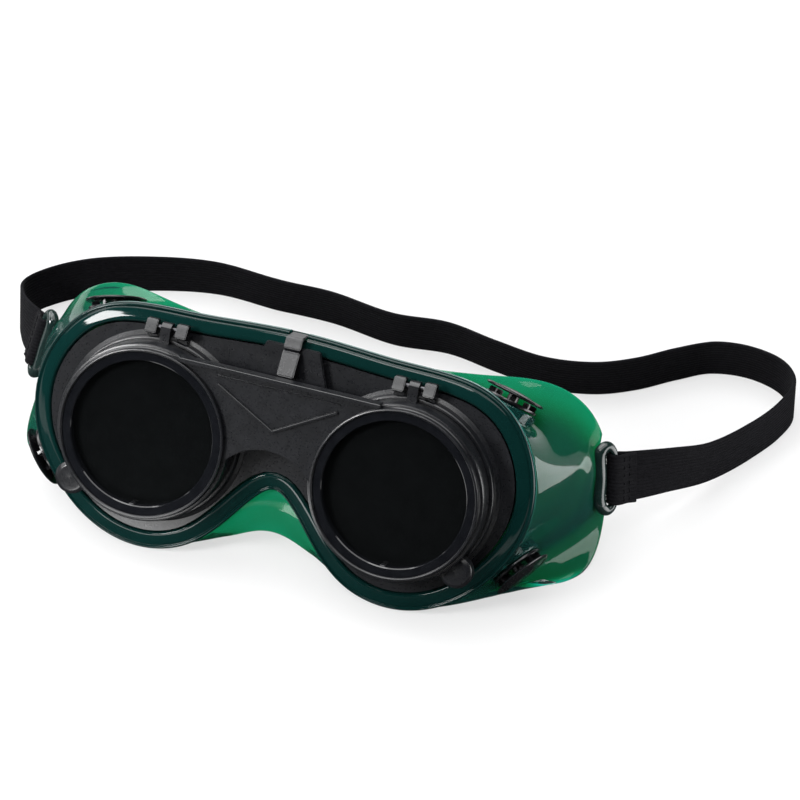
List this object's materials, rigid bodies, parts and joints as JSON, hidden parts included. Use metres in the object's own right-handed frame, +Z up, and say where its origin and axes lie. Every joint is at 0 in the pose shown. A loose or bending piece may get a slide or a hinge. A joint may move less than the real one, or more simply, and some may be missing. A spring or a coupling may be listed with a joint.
{
  "type": "welding goggles",
  "caption": "Flip-up gas welding goggles: soft vented facepiece, hinged frame with round shade lenses in front of clear cover lenses, elastic head strap.",
  "frame": {"origin": "bottom centre of the object's box, on the table the goggles lie on", "axes": "+X towards the wearer's left temple, across the face; -Y to the front of the lenses; +Z up from the table. The goggles lean back 28 degrees and the strap lies behind them on its edge"},
  "size_m": [0.2592, 0.1506, 0.0739],
  "materials": {
    "soft_pvc": "translucent glossy soft PVC",
    "black_nylon": "satin moulded",
    "vent_plastic": "semi-gloss moulded",
    "shade_glass": "very dark green polished",
    "clear_glass": "clear polished",
    "gasket_rubber": "matte",
    "pin_steel": "ground",
    "elastic_webbing": "ribbed elastic"
  },
  "bodies": {
    "facepiece_body": {"facepiece": "soft_pvc", "front_frame": "black_nylon", "strap": "elastic_webbing", "hinge_pin_left": "pin_steel", "hinge_pin_right": "pin_steel", "cover_lens_left": "clear_glass", "cover_lens_right": "clear_glass", "cover_gasket_left": "gasket_rubber", "cover_gasket_right": "gasket_rubber", "vent_base_upper_left": "vent_plastic", "vent_cap_upper_left": "vent_plastic", "vent_base_upper_right": "vent_plastic", "vent_cap_upper_right": "vent_plastic", "vent_base_lower_left": "vent_plastic", "vent_cap_lower_left": "vent_plastic", "vent_base_lower_right": "vent_plastic", "vent_cap_lower_right": "vent_plastic"},
    "flip_front": {"flip_frame": "black_nylon", "filter_lens_left": "shade_glass", "filter_lens_right": "shade_glass", "filter_gasket_left": "gasket_rubber", "filter_gasket_right": "gasket_rubber"},
    "filter_retainer_left": {"filter_ring_left": "black_nylon"},
    "filter_retainer_right": {"filter_ring_right": "black_nylon"},
    "cover_retainer_left": {"cover_ring_left": "black_nylon"},
    "cover_retainer_right": {"cover_ring_right": "black_nylon"}
  },
  "joints": [
    {"name": "flip_hinge", "type": "hinge", "parent": "facepiece_body", "child": "flip_front", "pos_m": [-0.01059, -0.03853, 0.06868], "axis": [-1, 0, 0], "range_deg": [0, 95]},
    {"name": "filter_ring_turn_left", "type": "hinge", "parent": "flip_front", "child": "filter_retainer_left", "pos_m": [-0.05309, -0.05545, 0.03984], "axis": [0, 0.8829, -0.4695], "range_deg": [0, 330]},
    {"name": "filter_ring_turn_right", "type": "hinge", "parent": "flip_front", "child": "filter_retainer_right", "pos_m": [0.03191, -0.05545, 0.03984], "axis": [0, 0.8829, -0.4695], "range_deg": [0, 330]},
    {"name": "cover_ring_turn_left", "type": "hinge", "parent": "facepiece_body", "child": "cover_retainer_left", "pos_m": [-0.05309, -0.04574, 0.03468], "axis": [0, 0.8829, -0.4695], "range_deg": [0, 330]},
    {"name": "cover_ring_turn_right", "type": "hinge", "parent": "facepiece_body", "child": "cover_retainer_right", "pos_m": [0.03191, -0.04574, 0.03468], "axis": [0, 0.8829, -0.4695], "range_deg": [0, 330]}
  ]
}
